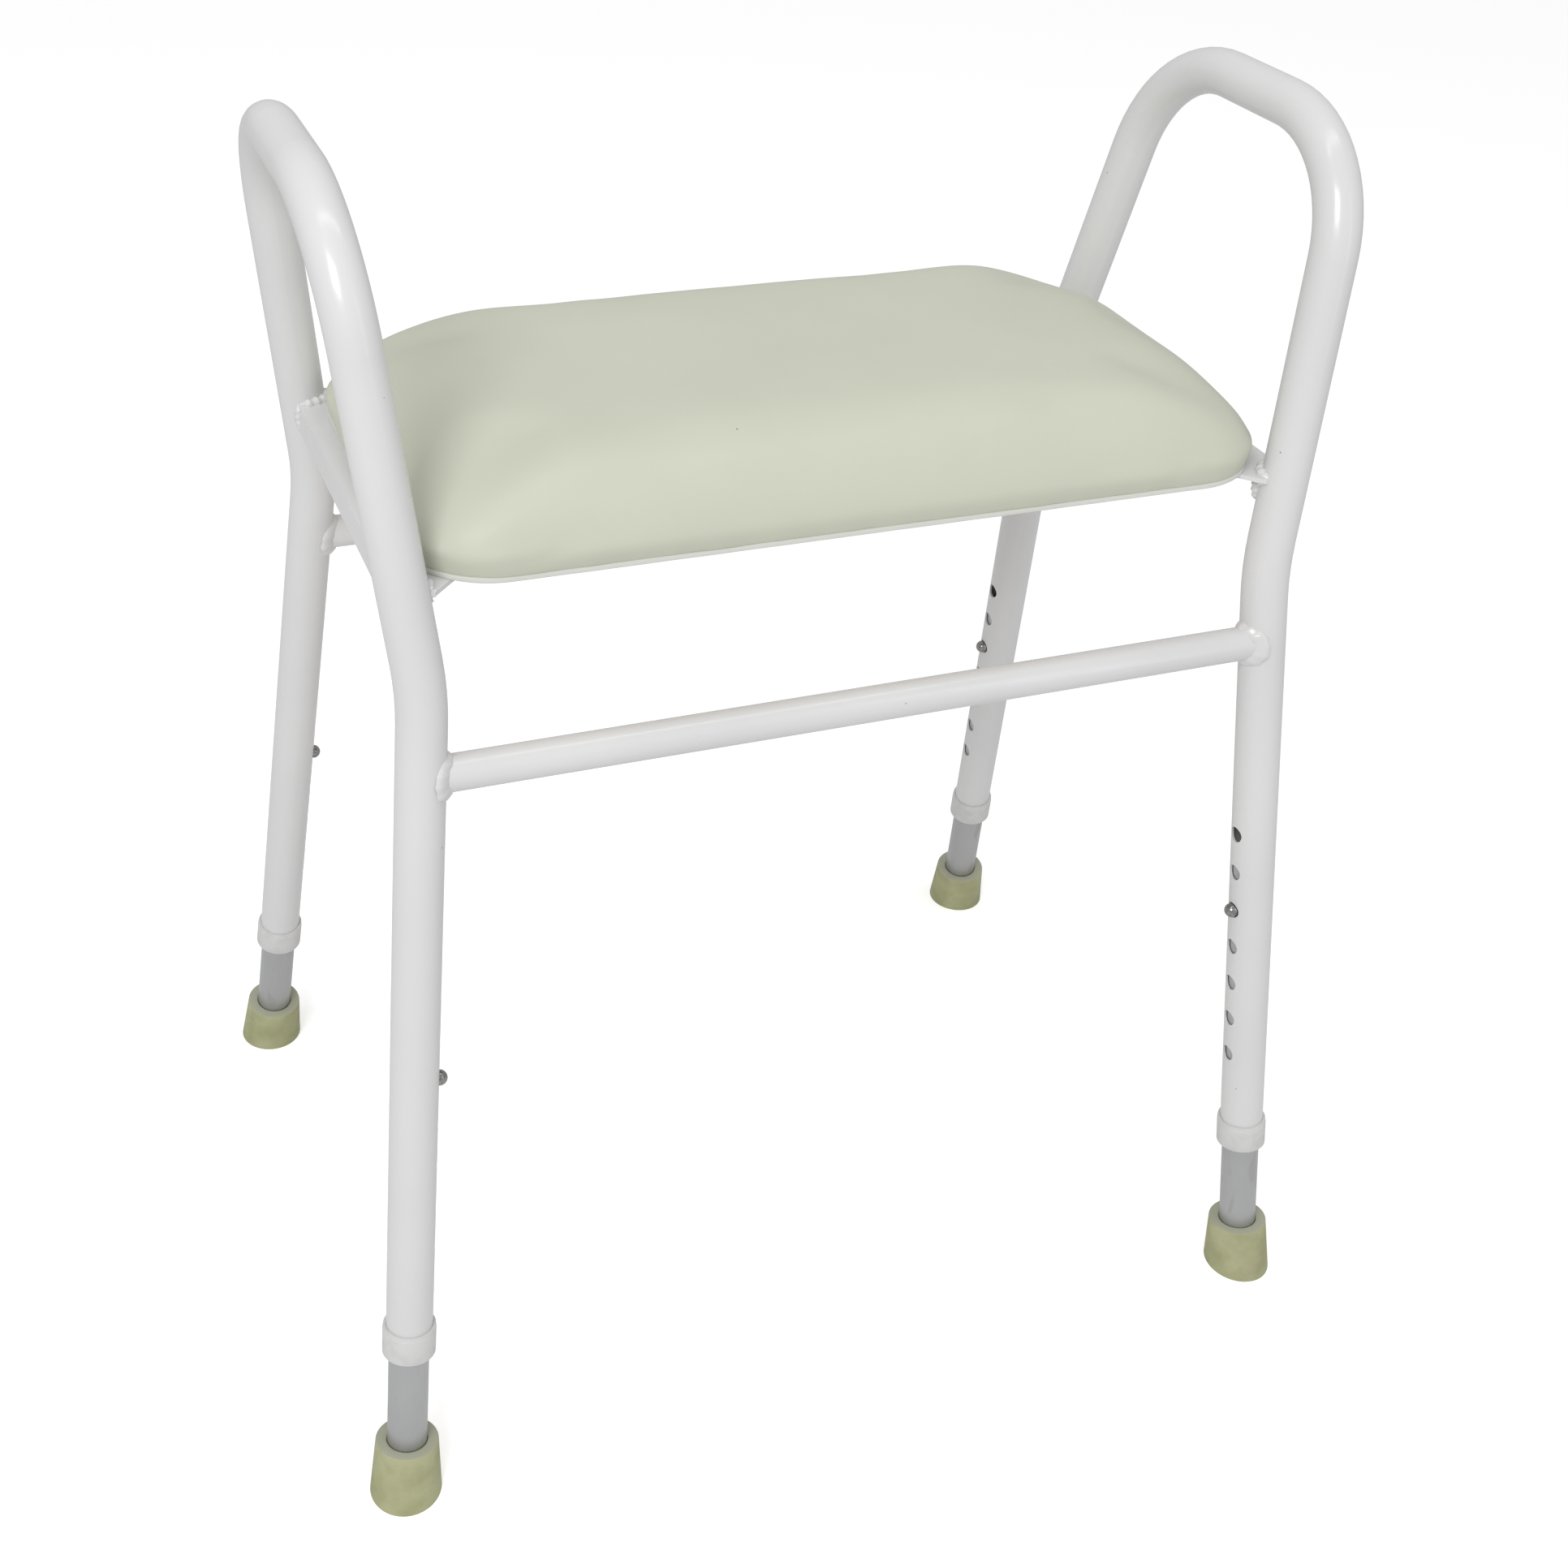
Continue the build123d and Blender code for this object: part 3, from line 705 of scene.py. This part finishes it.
def swell(piece, pinned_below, cap):
    """Fills a closed skin: cloth under pressure, its rim held, no point moving past the cap."""
    group = piece.vertex_groups.new(name="rim")
    held = [v.index for v in piece.data.vertices if v.co.z < pinned_below]
    group.add(held, 1.0, "REPLACE")
    start = [v.co.copy() for v in piece.data.vertices]
    cloth = piece.modifiers.new("filling", "CLOTH")
    cloth.settings.use_pressure = True
    cloth.settings.uniform_pressure_force = 4.0
    cloth.settings.vertex_group_mass = "rim"
    cloth.settings.quality = 5
    cloth.settings.tension_stiffness = 22
    cloth.settings.compression_stiffness = 22
    cloth.settings.bending_stiffness = 1.2
    cloth.settings.effector_weights.gravity = 0.0
    cloth.collision_settings.use_collision = False
    cloth.point_cache.frame_start = 1
    cloth.point_cache.frame_end = FILLING_STEPS
    for number in range(1, FILLING_STEPS + 1):
        bpy.context.scene.frame_set(number)
    swollen = piece.evaluated_get(bpy.context.evaluated_depsgraph_get()).data
    places = [v.co.copy() for v in swollen.vertices]
    piece.modifiers.remove(cloth)
    bpy.context.scene.frame_set(1)
    for vertex, first, last in zip(piece.data.vertices, start, places):
        move = last - first
        if move.length > cap:
            move = move.normalized() * cap
        vertex.co = first + move


def remeshed(piece, voxel):
    """Even quads over the whole skin."""
    modifier = piece.modifiers.new("even", "REMESH")
    modifier.mode = "VOXEL"
    modifier.voxel_size = voxel
    skin = bpy.data.meshes.new_from_object(piece.evaluated_get(bpy.context.evaluated_depsgraph_get()))
    piece.modifiers.remove(modifier)
    old = piece.data
    piece.data = skin
    bpy.data.meshes.remove(old)


def seat_cushion(material, half, corner, low, high):
    """Foam and its vinyl skin: swollen slab, pulled down round the board, open below for the board."""
    blank = cushion_blank(half, corner, low, high - SEAT_SWELL)
    mesh = bpy.data.meshes.new("cushion_blank")
    blank.to_mesh(mesh)
    blank.free()
    piece = bpy.data.objects.new("cushion_blank", mesh)
    bpy.context.scene.collection.objects.link(piece)
    remeshed(piece, SEAT_GRID)
    for vertex in piece.data.vertices:
        settle_skin(vertex, half, low, high)
    swell(piece, low + 4 * MM, SEAT_SWELL)
    bm = bmesh.new()
    bm.from_mesh(piece.data)
    bpy.data.objects.remove(piece)
    for vertex in bm.verts:
        dress_skin(vertex, half, corner, low)
    recess_board(bm, half, corner, low + 2 * MM)
    upper = [vertex for vertex in bm.verts if vertex.co.z > low + SEAT_EASED_ABOVE]
    for _ in range(SEAT_EASING):
        bmesh.ops.smooth_vert(
            bm, verts=upper, factor=0.5, use_axis_x=True, use_axis_y=True, use_axis_z=True,
        )
    cushion = finished(
        "seat_cushion", bm, material, "seat_vinyl", "frame", "seat_cover", "seat_foam"
    )
    finer = cushion.modifiers.new("finer", "SUBSURF")
    finer.levels = 1
    finer.render_levels = 1


def eased(share):
    """0 to 1 with a level start and a level end."""
    share = max(0.0, min(1.0, share))
    return share * share * (3 - 2 * share)


def settle_skin(vertex, half, low, high):
    """Crowns the top a little and drops it over the ends and corners in a softer roll."""
    height = max(0.0, vertex.co.z - low) / (high - low)
    inset_x, inset_y = half.x - abs(vertex.co.x), half.y - abs(vertex.co.y)
    near_end = max(0.0, 1 - inset_x / SEAT_END_ROLL)
    in_corner = eased(1 - inset_x / SEAT_CORNER_REACH.x) * eased(1 - inset_y / SEAT_CORNER_REACH.y)
    across = 1 - (vertex.co.y / half.y) ** 4
    along = 1 - (vertex.co.x / half.x) ** 2
    rise = SEAT_CROWN * across * along - SEAT_END_DROP * near_end ** 2
    vertex.co.z += height * (rise - SEAT_CORNER_DROP * in_corner)


def dress_skin(vertex, half, corner, low):
    """Bulges the sides over the hem, with small gathers where the skin is pulled under."""
    core, away, reach = seat_core(vertex.co.x, vertex.co.y, half, corner)
    up = vertex.co.z - low
    if reach < corner / 2:
        return
    bulge = SEAT_BULGE * math.sin(math.pi * min(1.0, up / SEAT_BULGE_HEIGHT))
    edge = core + away * corner
    broad = noise.noise(Vector((edge.x, edge.y, 0)) * 75)
    fine = noise.noise(Vector((edge.x, edge.y, 3)) * 160)
    pucker = SEAT_GATHER * (broad + 0.6 * fine) * max(0.0, 1 - up / SEAT_GATHER_HEIGHT)
    share = min(1.0, reach / corner)
    least = corner - 0.3 * MM if up < BOARD_TOP - low + 3 * MM else 0.0
    reach = max(reach, least) + (bulge + pucker) * share
    place = core + away * reach
    vertex.co.x, vertex.co.y = place


def recess_board(bm, half, corner, rim_level):
    """Opens the flat underside and lines it, so that the board fits up inside."""
    cut = bmesh.ops.bisect_plane(
        bm, geom=bm.verts[:] + bm.edges[:] + bm.faces[:], plane_co=(0, 0, rim_level),
        plane_no=(0, 0, 1), clear_inner=True, dist=1e-6,
    )
    rim = [item for item in cut["geom_cut"] if isinstance(item, bmesh.types.BMEdge)]
    for level in (rim_level, BOARD_TOP):
        grown = bmesh.ops.extrude_edge_only(bm, edges=rim)
        fresh = [item for item in grown["geom"] if isinstance(item, bmesh.types.BMVert)]
        for vertex in fresh:
            core, away, reach = seat_core(vertex.co.x, vertex.co.y, half, corner)
            place = core + away * (corner - BOARD_OVERLAP)
            vertex.co = (place.x, place.y, level)
        rim = [item for item in grown["geom"] if isinstance(item, bmesh.types.BMEdge)]
    bmesh.ops.edgeloop_fill(bm, edges=rim)


def seat_hem(material, half, corner, low):
    """Skin folded under the board: a flat strip with a cut, wavy inner edge."""
    bm = seat_plate(half, corner)
    bmesh.ops.inset_region(
        bm, faces=bm.faces[:], thickness=HEM_WIDTH, use_boundary=True, use_even_offset=True
    )
    inside = max(bm.faces, key=lambda face: face.calc_area())
    bmesh.ops.delete(bm, geom=[inside], context="FACES_ONLY")
    for vertex in bm.verts:
        core, away, reach = seat_core(vertex.co.x, vertex.co.y, half, corner)
        if reach < corner - 1 * MM:
            vertex.co += Vector((*away, 0)) * 1.6 * MM * noise.noise(vertex.co * 28)
    raised = bmesh.ops.extrude_face_region(bm, geom=bm.faces[:])
    lid = [item for item in raised["geom"] if isinstance(item, bmesh.types.BMVert)]
    bmesh.ops.translate(bm, vec=(0, 0, HEM_THICKNESS), verts=lid)
    bmesh.ops.translate(bm, vec=(0, 0, low), verts=bm.verts)
    bmesh.ops.recalc_face_normals(bm, faces=bm.faces)
    soften(bm, 0.4 * MM, 2, 60)
    finished("seat_hem", bm, material, "seat_vinyl", "frame")


def seat_lip(material, half, corner, low):
    """Raw folded lip that stands out round the bottom of the cushion, slightly wavy."""
    outer = Vector((half.x + LIP_REACH, half.y + LIP_REACH))
    bm = seat_plate(outer, corner + LIP_REACH)
    bmesh.ops.inset_region(
        bm, faces=bm.faces[:], thickness=LIP_REACH + 0.8 * MM, use_boundary=True, use_even_offset=True
    )
    inside = max(bm.faces, key=lambda face: face.calc_area())
    bmesh.ops.delete(bm, geom=[inside], context="FACES_ONLY")
    raised = bmesh.ops.extrude_face_region(bm, geom=bm.faces[:])
    lid = [item for item in raised["geom"] if isinstance(item, bmesh.types.BMVert)]
    bmesh.ops.translate(bm, vec=(0, 0, LIP_HEIGHT), verts=lid)
    bmesh.ops.recalc_face_normals(bm, faces=bm.faces)
    soften(bm, 0.55 * MM, 3, 60)
    for vertex in bm.verts:
        along = Vector((vertex.co.x, vertex.co.y, 0))
        wave = noise.noise(along * 36) + 0.5 * noise.noise(along * 110)
        lift = 0.35 * MM * wave * (vertex.co.z / LIP_HEIGHT)
        core, away, reach = seat_core(vertex.co.x, vertex.co.y, half, corner)
        aside = away * 0.3 * MM * noise.noise(along * 50 + Vector((7, 0, 0)))
        vertex.co += Vector((*aside, lift))
    bmesh.ops.translate(bm, vec=(0, 0, low), verts=bm.verts)
    finished("seat_lip", bm, material, "piping_vinyl", "frame", "seat_piping")


# ---------------------------------------------------------------- the whole stool
studio_camera()
studio_light()
white_floor()

coat = powder_coat()
aluminium = leg_aluminium()
nylon = collar_plastic()
rubber = ferrule_rubber()
zinc = zinc_steel()
skin = seat_vinyl("seat_vinyl", (0.60, 0.615, 0.505), (0.565, 0.58, 0.475), 0.06)
lip_skin = seat_vinyl("piping_vinyl", (0.72, 0.73, 0.69), (0.66, 0.67, 0.62), 0.05)
finishes = {
    "side_frame": coat,
    "crossbar": coat,
    "seat_rail": coat,
    "rail_welds": coat,
    "collar": nylon,
    "leg_tube": aluminium,
    "ferrule": rubber,
    "ferrule_washer": zinc,
    "snap_button": button_steel(),
    "spring_clip": spring_steel(),
    "seat_board": plywood(),
    "seat_foam": skin,
    "seat_cover": skin,
    "seat_piping": lip_skin,
    "hem_staples": zinc,
    "seat_screws": zinc,
    "seat_washers": zinc,
    "tee_nuts": zinc,
}
for node_name, node in frame["nodes"].items():
    family = max((key for key in finishes if node_name.startswith(key)), key=len)
    node.data.materials.clear()
    node.data.materials.append(finishes[family])

for end, side in CORNERS:
    collar(end + "_" + side, nylon)
    ferrule(end + "_" + side, rubber)
for end in ENDS:
    bar_welds(end, coat)
for side in SIDES:
    rail_welds(side, coat)

seat_low, seat_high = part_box("seat_cover")
seat_half = Vector((seat_high.x, seat_high.y))
seat_cushion(skin, seat_half, SEAT_CORNER, seat_low.z, seat_high.z)
seat_hem(skin, seat_half, SEAT_CORNER, seat_low.z)
seat_lip(lip_skin, seat_half, SEAT_CORNER, seat_low.z)
